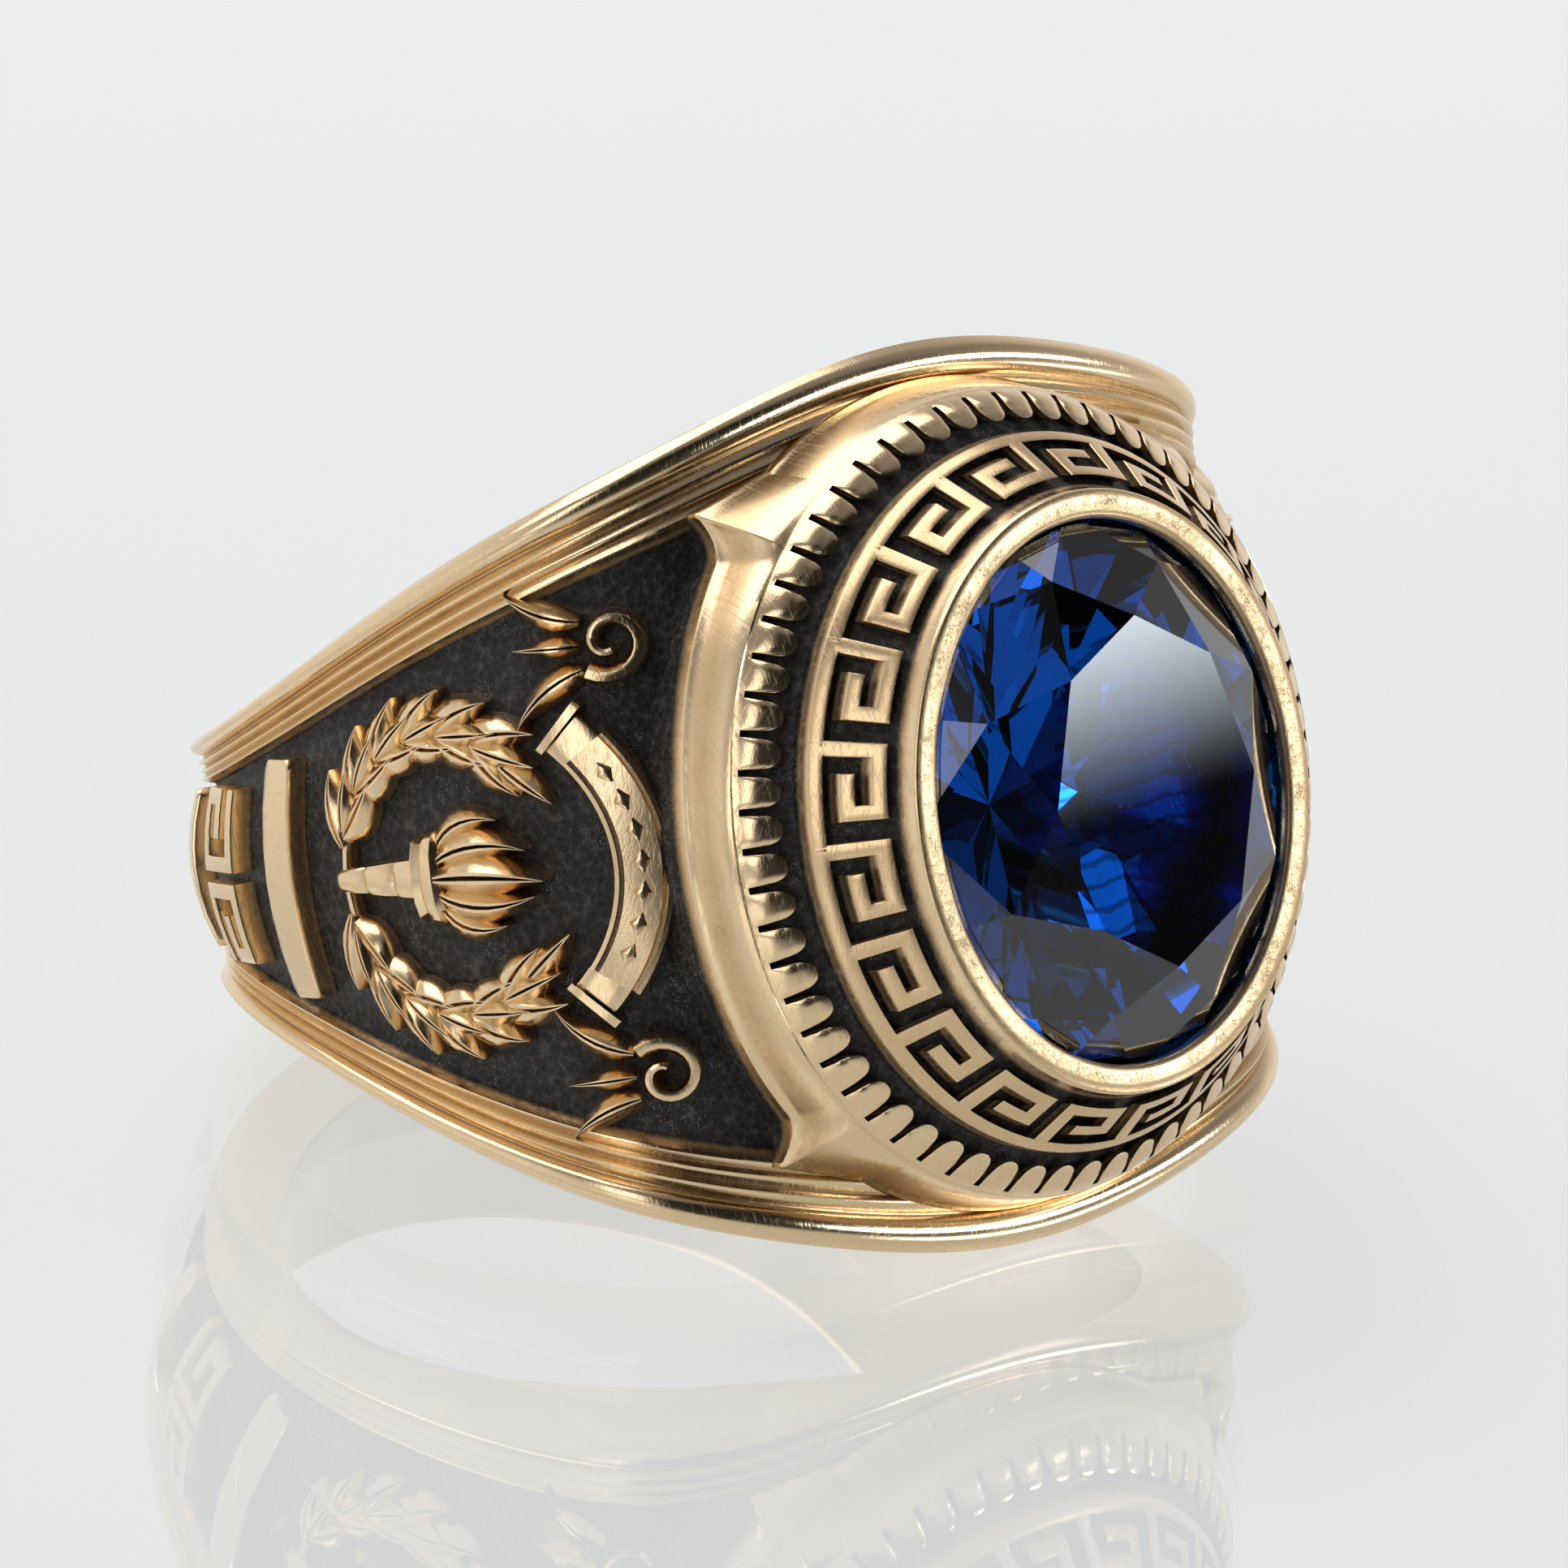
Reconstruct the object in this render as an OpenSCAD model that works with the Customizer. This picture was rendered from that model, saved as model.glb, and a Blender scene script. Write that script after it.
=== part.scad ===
// Cast gold ring with a faceted oval stone in a bezel, modelled as it lies on its side.
// Ring coordinates: X points from the finger axis to the stone, Z runs along the finger axis.
// Angles around the finger axis start at the stone. Millimetres.

/* [Finger hole] */
// Radius of the finger hole
bore_r = 9.25; // [8.6:0.05:9.9]

/* [Band] */
// Thickness of the band at the back, from the hole to the rails
back_wall = 1.8; // [1.4:0.05:2.4]
// Thickness of the band under the head, from the hole to the rails
head_wall = 0.6; // [0.5:0.05:0.9]
// Width of the band at the back
back_w = 5.5; // [4.6:0.1:6.4]
// Width of the band at the head
head_w = 19.6; // [19:0.1:20.4]
// Angle from the stone at which the band reaches its width at the back
taper_end = 132; // [120:1:145]
// How far the round of the shoulders would stand over the back at the stone
shoulder_rise = 2.5; // [2.1:0.1:3]
// Angle from the stone at which the shoulders run out
shoulder_end = 95; // [88:1:104]
// How far the side faces slope in beside the hole
edge_in = 0.15; // [0.05:0.05:0.25]
// Distance from the hole at which that slope begins
edge_out = 0.1; // [0.08:0.01:0.15]

/* [Rails] */
// Width of the rails at the narrowest, before their share of the band
rail_base_w = 0.6; // [0.5:0.05:0.8]
// Share of the band's half width that the rails add to it
rail_share = 0.14; // [0.1:0.01:0.18]
// Depth of the grooves between the rails
groove_depth = 0.3; // [0.2:0.02:0.36]
// Depth of the sunk field beside the rails
field_drop = 0.55; // [0.4:0.05:0.7]
// Rise of the field's middle over its edges at the shank
dome_back = 0.42; // [0.2:0.02:0.5]
// Further rise of the field's middle towards the head
dome_head = 0.6; // [0.3:0.05:0.8]
// Angle from the stone at which rails and field begin to run out
field_end = 128; // [124:1:136]
// Angle from the stone at which the band is plain
plain_start = 146; // [142:1:160]

/* [Stone] */
// Length of the stone at its girdle
stone_len = 12; // [11.4:0.1:12.4]
// Width of the stone at its girdle
stone_wid = 10; // [9.4:0.1:10.4]
// Length of the stone's table
table_len = 7.5; // [6.6:0.1:8]
// Width of the stone's table
table_wid = 5.5; // [4.8:0.1:6]
// Height of the crown over the girdle
crown_h = 1.85; // [1.4:0.05:2.1]
// Thickness of the girdle
girdle_h = 0.15; // [0.1:0.01:0.2]
// Depth of the point under the girdle
pavilion_h = 3.6; // [3.2:0.05:3.65]
// Share of the crown's height at which the star facets end
star_share = 0.58; // [0.5:0.02:0.7]
// Gap between the stone and its seat
seat_gap = 0.06; // [0.04:0.01:0.1]

/* [Bezel and head] */
// How far the bezel's lip reaches over the girdle
lip_over = 0.2; // [0.15:0.01:0.25]
// Width of the bezel's rim
rim_w = 0.66; // [0.5:0.02:0.8]
// Height of the rim over the top of the girdle
rim_rise = 0.53; // [0.45:0.02:0.65]
// Length of the lobed border, outside
border_len = 17.28; // [17:0.05:17.6]
// Width of the lobed border, outside
border_wid = 15.94; // [15.6:0.05:16.3]
// Height of the border's edge over the rails at the head
border_rise = 1.45; // [1.2:0.05:1.7]
// Height of the bezel's rim over the border's edge
crest_rise = 2.98; // [2.8:0.05:3.2]
// How far the smooth collar stands out of the border at the sides
collar_w = 0.53; // [0.4:0.02:0.65]
// How far the smooth collar stands out of the border at the ends
collar_end_w = 0.36; // [0.25:0.02:0.45]
// Angle from the stone at which the collar's pointed lands begin, beside the rails
land_a = 35; // [34:0.5:36]
// Depth of the sunk field under the line from rim to border
head_field_drop = 0.62; // [0.5:0.02:0.7]
// Number of lobes in the border
lobes = 62; // [56:1:66]
// Depth of the notches between the lobes
notch_depth = 0.42; // [0.3:0.02:0.5]

/* [Raised ornament] */
// Height of the raised work over the fields
relief_h = 0.5; // [0.35:0.05:0.6]
// How deep the raised work is rooted in the fields
root = 0.3; // [0.2:0.05:0.4]
// Number of frets around the head
frets = 20; // [18:1:21]
// Width of a fret's strokes on the head
fret_stroke = 0.34; // [0.3:0.01:0.36]
// Width of a fret's strokes on the shank
panel_stroke = 0.36; // [0.3:0.01:0.38]
// Angle from the stone of the shoulder emblem's middle
emblem_a = 66; // [63:1:69]
// Half the wreath's height along the band
wreath_u = 2.75; // [2.5:0.05:3]
// Half the wreath's width across the band
wreath_v = 3; // [2.8:0.05:3.2]
// Leaf pairs on a branch
leaf_pairs = 6; // [4:1:7]
// Length of a leaf
leaf_len = 1.5; // [1.2:0.05:1.6]
// Length of the torch under its flame
torch_len = 3; // [2.6:0.1:3.2]
// Width of the torch's cup
torch_w = 1.9; // [1.6:0.05:2.1]
// Length of the flame
flame_len = 2.5; // [2.1:0.1:2.7]
// Radius of the ribbon's arc
ribbon_r = 4.05; // [3.8:0.05:4.3]
// Width of the ribbon
ribbon_w = 1.2; // [1:0.05:1.4]
// Radius of the scrolls in the corners
scroll_r = 0.78; // [0.6:0.02:0.85]
// Width of a scroll's stroke
scroll_w = 0.4; // [0.3:0.02:0.5]
// Distance of the scrolls from the emblem's middle, towards the head
scroll_u = 4.3; // [4:0.05:4.6]
// Distance of the scrolls from the band's middle
scroll_v = 4.65; // [4.4:0.05:4.8]
// Half the length of the bar at the head end of the shank's panel
bar_half = 2.6; // [2.2:0.05:2.8]
// Width of that bar
bar_w = 1.1; // [0.9:0.05:1.2]
// Width of the bar at the panel's other end
end_bar_w = 0.7; // [0.5:0.05:0.8]
// Distance of the shank's frets and end bar from what they stand beside
panel_gap = 0.14; // [0.1:0.01:0.2]

/* [Hidden] */
$fn = 64;

gold = [0.79, 0.62, 0.37];
blue = [0.04, 0.10, 0.42];

// Driving radii from the finger axis
back_r = bore_r + back_wall;
head_x = bore_r + head_wall;
border_x = head_x + border_rise;
rim_x = border_x + crest_rise;
girdle_top = rim_x - rim_rise;
girdle_bottom = girdle_top - girdle_h;
table_x = girdle_top + crown_h;
culet_x = girdle_bottom - pavilion_h;

// Half sizes of the head's ovals, as [along the finger axis, across it]
girdle = [stone_len / 2, stone_wid / 2];
table = [table_len / 2, table_wid / 2];
opening = girdle - [lip_over, lip_over];
seat = girdle + [seat_gap, seat_gap];
rim = opening + [rim_w, rim_w];
border = [border_len / 2, border_wid / 2];
collar = border + [collar_end_w, collar_w];

// Fall of a smooth step from 1 to 0 between two angles
function run_out(a, from, to) = a <= from ? 1 : a >= to ? 0 : (1 + cos(180 * (a - from) / (to - from))) / 2;

// Share of the head's extra width that the band has at an angle from the stone
function widening(a) = a < taper_end ? pow(cos(90 * a / taper_end), 2) : 0;
function half_w(a) = back_w / 2 + (head_w - back_w) / 2 * widening(a);
function rail_w(a) = rail_base_w + rail_share * half_w(a);
function field_w(a) = half_w(a) - rail_w(a);

// Radius of the rails: a straight run under the head blends into round shoulders
blend = 8;
function round_r(a) = back_r + shoulder_rise * (a < shoulder_end ? pow(cos(90 * a / shoulder_end), 2) : 0);
function flat_share(a) = a < 85 ? cos(a) / head_x : 0;
function rail_r(a) = pow(pow(flat_share(a), blend) + pow(1 / round_r(a), blend), -1 / blend);

// Height of the domed field, and of the plain band behind it, against the rails
dome_from = 12;
dome_to = 35;
plain_crown = 0.3;
function dome(a) = (dome_back + dome_head * widening(a)) * (1 - run_out(a, dome_from, dome_to));
function carved(a) = run_out(a, field_end, plain_start);
function plain_h(a, z) = -plain_crown * pow(z / half_w(a), 2);
function field_h(a, z) = dome(a) * (1 - pow(min(1, abs(z) / field_w(a)), 2)) - field_drop;
function field_r(a, z) = rail_r(a) + carved(a) * field_h(a, z) + (1 - carved(a)) * plain_h(a, z);

// Rail profile from the outer edge inwards, as [share of the rails' width, share of the groove depth]
SHARE = 0;
DEPTH = 1;
rails = [
    [0.00, 1.05],
    [0.10, 0.30],
    [0.22, 0.00],
    [0.36, 0.27],
    [0.44, 0.93],
    [0.50, 0.47],
    [0.60, 0.47],
    [0.66, 1.00],
    [0.72, 0.53],
    [0.86, 0.53]
];
field_steps = 6;

// One side of the band's section at an angle, from the hole over the rails to the field, as [radius, z]
function half_section(a) = [
    [bore_r * 0.9, half_w(a) - 2 * edge_in],
    [bore_r + edge_out, half_w(a) - edge_in],
    for (i = [0 : len(rails) - 1])
        let (z = half_w(a) - rails[i][SHARE] * rail_w(a))
        let (cut = groove_depth * rails[i][DEPTH])
        [rail_r(a) - (i < 2 ? cut : carved(a) * cut - (1 - carved(a)) * plain_h(a, z)), z],
    [field_r(a, field_w(a)), field_w(a) + rail_w(a) * 0.05]
];

function section(a) = let (side = half_section(a)) [
    each side,
    for (i = [1 : field_steps - 1])
        let (z = field_w(a) * (1 - 2 * i / field_steps))
        [field_r(a, z), z],
    for (i = [len(side) - 1 : -1 : 0]) [side[i][0], -side[i][1]]
];

// A point of the ring from its angle, radius and place along the finger axis
function polar(a, r, z) = [r * cos(a), r * sin(a), z];

// Solid skin over rings of points that all have the same count
module skin(rings, round_trip = false) {
    n = len(rings);
    m = len(rings[0]);
    spans = round_trip ? n : n - 1;
    walls = [
        for (i = [0 : spans - 1], j = [0 : m - 1])
            let (k = (i + 1) % n, l = (j + 1) % m)
            each [[i * m + j, k * m + l, i * m + l], [i * m + j, k * m + j, k * m + l]]
    ];
    caps = round_trip ? [] : [
        [for (j = [0 : m - 1]) j],
        [for (j = [m - 1 : -1 : 0]) (n - 1) * m + j]
    ];
    polyhedron(points = [for (r = rings) each r], faces = [each walls, each caps], convexity = 10);
}

band_step = 6;

module band() {
    skin([
        for (a = [0 : band_step : 360 - band_step])
            [for (p = section(a > 180 ? 360 - a : a)) polar(a, p[0], p[1])]
    ], round_trip = true);
}

// Angle on an oval for an even spacing along its edge
function even(a, oval) =
    a + 45 / PI * (pow(oval[0], 2) - pow(oval[1], 2)) / (pow(oval[0], 2) + pow(oval[1], 2)) * sin(2 * a);

function on_oval(t, oval, x) = [x, oval[1] * sin(t), oval[0] * cos(t)];

// Points of the head's slope, from the bezel's rim at 0 to the border's edge at 1
function slope_oval(f) = rim + f * (border - rim);
function slope_x(f) = rim_x - f * crest_rise;
bezel_foot = 0.06;
lobe_foot = 0.64;
lobe_tip = 0.68;
lobe_mid = 0.84;

// Outer edge of the collar, drawn out beside each rail to a land that starts in a point.
// The land runs from the rails' inner edge back to where the oval meets the rails.
land_from = 32.4;
land_to = 44.8;
function fold(t) = let (u = abs(t % 180)) min(u, 180 - u);
function land_share(t) = (land_to - fold(t)) / (land_to - land_from);
land_tip = [rail_r(land_a) * cos(land_a), rail_r(land_a) * sin(land_a), field_w(land_a)];
land_rise = [0.17 * border_rise, 0, 0];
function land_point(share, level) =
    let (tip = land_tip + level * land_rise)
    (1 - share) * tip + share * on_oval(land_from, collar, tip[0]);
function collar_point(t, x, level) =
    let (share = land_share(t))
    share > 0 && share < 1
        ? let (p = land_point(share, level)) [p[0], p[1] * sign(sin(t)), p[2] * sign(cos(t))]
        : on_oval(t, collar, x);

// The head from its root in the band up over collar, border and bezel and down into the pocket.
// Each row is [half sizes of the oval, x, depth of its notches]; the collar's edge takes rows of its own,
// and collar_foot is how many land rises its foot lies under the land's point.
OVAL = 0;
LEVEL = 1;
NOTCH = 2;
rim_round = 0.22;
rim_flat = 0.45;
pocket_floor = 0.15;
pocket_tip = 0.1;
root_taper = 0.94;
root_x = bore_r * 0.83;
collar_foot = -4;
collar_edge_x = head_x + border_rise * 0.42;
collar_top_x = head_x + border_rise * 0.87;
collar_top = 0.6;
notch_start = 0.85;
function collar_share(share) = border + share * (collar - border);
function upper_rows() = [
    [collar_share(collar_top), collar_top_x, 0],
    [border, border_x, 0],
    [slope_oval(lobe_mid), slope_x(lobe_mid), notch_depth * notch_start],
    [slope_oval(lobe_tip), slope_x(lobe_tip) - rim_round / 2, notch_depth],
    [slope_oval(lobe_foot), slope_x(lobe_foot) - head_field_drop, 0],
    [slope_oval(bezel_foot), slope_x(bezel_foot) - head_field_drop, 0],
    [rim, rim_x - rim_round, 0],
    [opening + rim_flat * [rim_w, rim_w], rim_x, 0],
    [opening, rim_x - rim_round / 5, 0],
    [opening, girdle_top + rim_rise / 2, 0],
    [seat, girdle_top + seat_gap * 1.5, 0],
    [seat, girdle_bottom - seat_gap, 0],
    [seat * pocket_tip, culet_x - pocket_floor, 0]
];

module head() {
    steps = 2 * lobes;
    angles = [for (i = [0 : steps - 1]) even(-360 * i / steps, border)];
    skin([
        [for (t = angles) on_oval(t, collar * root_taper, root_x)],
        [for (t = angles) collar_point(t, head_x, collar_foot)],
        [for (t = angles) collar_point(t, collar_edge_x, 1)],
        for (row = upper_rows())
            [for (i = [0 : steps - 1]) on_oval(angles[i], row[OVAL], row[LEVEL] - (i % 2) * row[NOTCH])]
    ]);
}

// Length of an oval's edge
function around(oval) = 2 * PI * norm(oval) / sqrt(2);

// Outline of one square fret, five strokes high, with a foot that runs on to the next
module fret(stroke, run) {
    scale(stroke)
        polygon([
            [0, 0], [run, 0], [run, 1], [1, 1], [1, 4], [4, 4],
            [4, 3], [2, 3], [2, 2], [5, 2], [5, 5], [0, 5]
        ]);
}

function unit(v) = v / norm(v);

// Moves a flat shape's own X, Y and Z to two directions in space, at a point
module lay(at, along, up) {
    out = unit(cross(along, up));
    x = unit(along);
    y = cross(out, x);
    multmatrix([
        [x[0], y[0], out[0], at[0]],
        [x[1], y[1], out[1], at[1]],
        [x[2], y[2], out[2], at[2]],
        [0, 0, 0, 1]
    ])
        children();
}

module head_frets() {
    foot = (lobe_foot + bezel_foot) / 2;
    pitch = 360 / frets;
    oval = slope_oval(foot);
    run = around(oval) / frets / fret_stroke + 0.5;
    for (i = [0 : frets - 1]) {
        t = even((i + 0.5) * pitch, oval);
        at = on_oval(t, oval, slope_x(foot) - head_field_drop);
        along = [0, -oval[1] * cos(t), oval[0] * sin(t)];
        up = on_oval(t, rim, rim_x) - on_oval(t, border, border_x);
        lay(at, along, up)
            translate([-3 * fret_stroke, -2.5 * fret_stroke, -root])
                linear_extrude(root + relief_h * 0.8)
                    fret(fret_stroke, run);
    }
}

// A point on the shoulder's field: u runs to the head, v along the finger axis, h out of the field
shoulder_r = rail_r(emblem_a);
function field_angle(u) = emblem_a - u / shoulder_r * 180 / PI;
function on_field(u, v, h) =
    let (a = field_angle(u))
    polar(-a, field_r(a, v) + h, v);

// A raised strip along a path on the shoulder; each stop is [u, v, half width, height]
module strip(path, top = 0.8) {
    last = len(path) - 1;
    skin([
        for (i = [0 : last])
            let (p = path[i])
            let (d = path[min(last, i + 1)] - path[max(0, i - 1)])
            let (side = unit([-d[1], d[0]]) * p[2])
            [
                on_field(p[0] - side[0], p[1] - side[1], -root),
                on_field(p[0] + side[0], p[1] + side[1], -root),
                on_field(p[0] + side[0] * top, p[1] + side[1] * top, p[3]),
                on_field(p[0] - side[0] * top, p[1] - side[1] * top, p[3])
            ]
    ]);
}

// A pointed leaf from a point, in a direction on the field
leaf_form = [[0, 0.3], [0.4, 1], [0.75, 0.75], [1, 0.12]];
module leaf(from, angle, length, half) {
    dir = [cos(angle), sin(angle)];
    strip([
        for (s = leaf_form)
            [from[0] + dir[0] * length * s[0], from[1] + dir[1] * length * s[0], half * s[1], relief_h]
    ], top = 0.3);
}

// Two laurel branches that rise from the foot of the emblem
branch_from = 14;
branch_to = 128;
module laurel(side) {
    for (i = [0 : leaf_pairs - 1]) {
        t = branch_from + (branch_to - branch_from) * i / leaf_pairs;
        from = [-wreath_u * cos(t), side * wreath_v * sin(t)];
        heading = side * atan2(wreath_v * cos(t), wreath_u * sin(t));
        leaf(from, heading + side * 32, leaf_len, leaf_len * 0.27);
        leaf(from, heading - side * 34, leaf_len * 0.9, leaf_len * 0.25);
    }
    leaf(
        [-wreath_u * cos(branch_to), side * wreath_v * sin(branch_to)],
        side * atan2(wreath_v * cos(branch_to), wreath_u * sin(branch_to)),
        leaf_len,
        leaf_len * 0.27
    );
}

// A torch between the branches
module torch() {
    strip([
        [-torch_len, 0, torch_w * 0.13, relief_h],
        [-torch_w * 0.27, 0, torch_w * 0.24, relief_h * 1.3]
    ]);
    strip([
        [-torch_w * 0.33, 0, torch_w * 0.41, relief_h],
        [-torch_w * 0.07, 0, torch_w * 0.5, relief_h * 1.5],
        [torch_w * 0.1, 0, torch_w * 0.44, relief_h]
    ]);
    leaf([torch_w * 0.07, 0], 0, flame_len, flame_len * 0.24);
    for (side = [-1, 1])
        leaf([torch_w * 0.07, side * torch_w * 0.14], side * 24, flame_len * 0.72, flame_len * 0.17);
}

// A plain ribbon that arches over the wreath towards the head
ribbon_half_a = 48;
module ribbon() {
    strip([
        for (t = [-ribbon_half_a : ribbon_half_a / 4 : ribbon_half_a])
            [ribbon_r * (0.1 + cos(t)), ribbon_r * sin(t), ribbon_w / 2, relief_h]
    ], top = 0.92);
}

// A scroll with two leaves in the corner between rail and collar
module scroll(side) {
    strip([
        for (t = [0 : 30 : 270])
            let (r = scroll_r * (1 - t / 830), a = t - 130)
            [scroll_u + r * cos(a), side * (scroll_v + r * sin(a)), scroll_w / 2 * (1 - t / 500), relief_h]
    ], top = 0.7);
    foot = scroll_u - scroll_r * 0.7;
    leaf([foot, side * (scroll_v - scroll_r * 0.7)], side * -165, scroll_r * 2, scroll_w * 0.75);
    leaf([foot, side * (scroll_v + scroll_r * 0.5)], side * 172, scroll_r * 2, scroll_w * 0.7);
}

// Two bars with mirrored frets between them on the shank
bar_a = 91;
panel_a = 106;
end_bar_a = 120;
module shank_panel() {
    bars = [[bar_a, bar_half, bar_w / 2], [end_bar_a, field_w(end_bar_a) - panel_gap, end_bar_w / 2]];
    for (b = bars) {
        u = (emblem_a - b[0]) * shoulder_r * PI / 180;
        strip([for (v = [-1 : 0.5 : 1]) [u, v * b[1], b[2], relief_h]], top = 0.9);
    }
    for (side = [-1, 1])
        let (at = polar(-panel_a, field_r(panel_a, 1), side * panel_gap))
        lay(at, [0, 0, side], side * [sin(panel_a), cos(panel_a), 0])
            translate([0, -2.5 * panel_stroke, -root])
                linear_extrude(root + relief_h)
                    fret(panel_stroke, 5);
}

module shoulder() {
    for (side = [-1, 1]) {
        laurel(side);
        scroll(side);
    }
    torch();
    ribbon();
    shank_panel();
}

// The resting pose: the ring lies on the rails' lower edges, at the head and at the back
function contact_r(a) = rail_r(a) - groove_depth * rails[0][DEPTH];
tilt = atan((half_w(0) - half_w(180)) / (contact_r(0) + contact_r(180)));
rest_z = half_w(0) * cos(tilt) - contact_r(0) * sin(tilt);
front_y = table_x * cos(tilt) + table[0] * sin(tilt);
back_y = rail_r(180) * cos(tilt) + half_w(180) * sin(tilt);

module at_rest() {
    translate([0, (front_y - back_y) / 2, rest_z])
        rotate([-tilt, 0, 0])
            rotate([0, 0, -90])
                children();
}

module ring_body() {
    color(gold)
        at_rest()
            difference() {
                union() {
                    band();
                    head();
                    head_frets();
                    shoulder();
                    mirror([0, 1, 0])
                        shoulder();
                }
                cylinder(r = bore_r, h = 2 * head_w, center = true);
            }
}

// Crown corners: each main facet holds a table corner and the girdle's tangent below it
function table_point(k) = on_oval(45 * k, table, table_x);
function girdle_point(k, x) = on_oval(22.5 * k, girdle, x);
function main_normal(k) =
    let (tangent = [0, girdle[1] * cos(45 * k), -girdle[0] * sin(45 * k)])
    cross(table_point(k) - girdle_point(2 * k, girdle_top), tangent);
function star_point(k) =
    let (x = girdle_top + crown_h * star_share)
    let (n = main_normal(k), m = main_normal(k + 1))
    let (c = n * girdle_point(2 * k, girdle_top) - n[0] * x)
    let (d = m * girdle_point(2 * k + 2, girdle_top) - m[0] * x)
    let (det = n[1] * m[2] - n[2] * m[1])
    [x, (c * m[2] - n[2] * d) / det, (n[1] * d - c * m[1]) / det];

culet_share = 0.3;
function pavilion_point(k) =
    on_oval(45 * k + 22.5, girdle * culet_share, girdle_bottom - pavilion_h * (1 - culet_share * cos(22.5)));

// Every facet of the stone: points are table, stars, girdle top, girdle bottom, pavilion and point
module stone() {
    star = 8;
    top = 16;
    under = 32;
    pavilion = 48;
    tip = 56;
    color(blue)
        at_rest()
            polyhedron(
                points = [
                    for (k = [0 : 7]) table_point(k),
                    for (k = [0 : 7]) star_point(k),
                    for (k = [0 : 15]) girdle_point(k, girdle_top),
                    for (k = [0 : 15]) girdle_point(k, girdle_bottom),
                    for (k = [0 : 7]) pavilion_point(k),
                    [culet_x, 0, 0]
                ],
                faces = [
                    [for (k = [0 : 7]) k],
                    for (k = [0 : 7])
                        let (next = (k + 1) % 8, last = (k + 7) % 8)
                        let (g = 2 * k, h = g + 1, i = (g + 2) % 16)
                        each [
                            [k, star + k, next],
                            [k, star + last, top + g],
                            [k, top + g, star + k],
                            [star + k, top + g, top + h],
                            [star + k, top + h, top + i],
                            [top + g, under + g, under + h, top + h],
                            [top + h, under + h, under + i, top + i],
                            [pavilion + k, under + h, under + g],
                            [pavilion + k, under + i, under + h],
                            [tip, pavilion + k, under + g, pavilion + last]
                        ]
                ]
            );
}

ring_body();
stone();
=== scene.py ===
"""Gold class ring with a faceted oval blue stone, lying on its side on a pale glossy floor."""

import math

import bmesh
import bpy
from mathutils import Matrix, Vector


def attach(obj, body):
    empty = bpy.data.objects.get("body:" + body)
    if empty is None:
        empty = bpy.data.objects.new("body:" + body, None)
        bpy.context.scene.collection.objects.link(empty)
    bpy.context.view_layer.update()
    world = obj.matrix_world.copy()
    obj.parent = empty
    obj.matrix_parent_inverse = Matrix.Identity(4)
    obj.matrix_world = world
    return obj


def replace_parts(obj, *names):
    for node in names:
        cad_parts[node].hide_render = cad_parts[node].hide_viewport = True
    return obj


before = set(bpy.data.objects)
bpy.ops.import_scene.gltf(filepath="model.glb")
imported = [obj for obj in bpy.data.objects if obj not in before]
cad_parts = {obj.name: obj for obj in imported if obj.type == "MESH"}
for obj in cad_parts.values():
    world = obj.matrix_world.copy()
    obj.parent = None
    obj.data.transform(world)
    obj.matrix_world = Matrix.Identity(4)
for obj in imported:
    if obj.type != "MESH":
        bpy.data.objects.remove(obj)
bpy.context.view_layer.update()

# The cast band
# A class ring's body is one casting in 10 karat gold. The band is narrow at the back and widens
# to the head, with a stack of rounded rails along both edges and a sunk, darkened field between.
# Ring coordinates are millimetres: X points from the finger axis to the stone, Z along the axis.
BORE = 9.25
BACK_RADIUS = 11.05
HEAD_X = 9.85
BACK_WIDTH = 5.5
HEAD_WIDTH = 19.6
TAPER_END = 132
SHOULDER_RISE = 2.5
SHOULDER_END = 95
RAILS_LEAST = 0.6
RAILS_SHARE = 0.14
GROOVE = 0.3
FIELD_DROP = 0.55
FIELD_END = 128
PLAIN_START = 146
EDGE_IN = 0.15
LEAST_WALL = 0.1
BACK_DOME = 0.42
DOME_GAIN = 0.6
DOME_START = 12
DOME_END = 35
PLAIN_CROWN = 0.3
# Depth of the rails' outer edge below their top, as a share of the groove's
EDGE_DEPTH = 1.05
# Height of the stone's table above the finger axis, and half its width towards the rails
TABLE_X = 15.6
TABLE_HALF = 3.75


def run_out(angle, start, end):
    """Falls smoothly from 1 to 0 between two angles in degrees."""
    share = min(1, max(0, (angle - start) / (end - start)))
    return (1 + math.cos(math.pi * share)) / 2


def cos_squared(angle, end):
    return math.cos(math.radians(90 * min(angle, end) / end)) ** 2


def half_width(angle):
    return (BACK_WIDTH + (HEAD_WIDTH - BACK_WIDTH) * cos_squared(angle, TAPER_END)) / 2


def rail_width(angle):
    return RAILS_LEAST + RAILS_SHARE * half_width(angle)


def field_half(angle):
    return half_width(angle) - rail_width(angle)


def rail_radius(angle):
    """The band is straight under the head and blends into round shoulders."""
    flat = math.cos(math.radians(angle)) / HEAD_X if angle < 85 else 0
    shoulder = BACK_RADIUS + SHOULDER_RISE * cos_squared(angle, SHOULDER_END)
    return (flat**8 + (1 / shoulder) ** 8) ** (-1 / 8)


def field_radius(angle, z):
    dome = BACK_DOME + DOME_GAIN * cos_squared(angle, TAPER_END)
    dome = dome * (1 - run_out(angle, DOME_START, DOME_END))
    sunk = dome * (1 - min(1, abs(z) / field_half(angle)) ** 2) - FIELD_DROP
    carved = run_out(angle, FIELD_END, PLAIN_START)
    plain = -PLAIN_CROWN * (z / half_width(angle)) ** 2
    # Under the head the floor of the field stays clear of the finger hole
    return max(BORE + LEAST_WALL, rail_radius(angle) + carved * sunk + (1 - carved) * plain)


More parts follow.
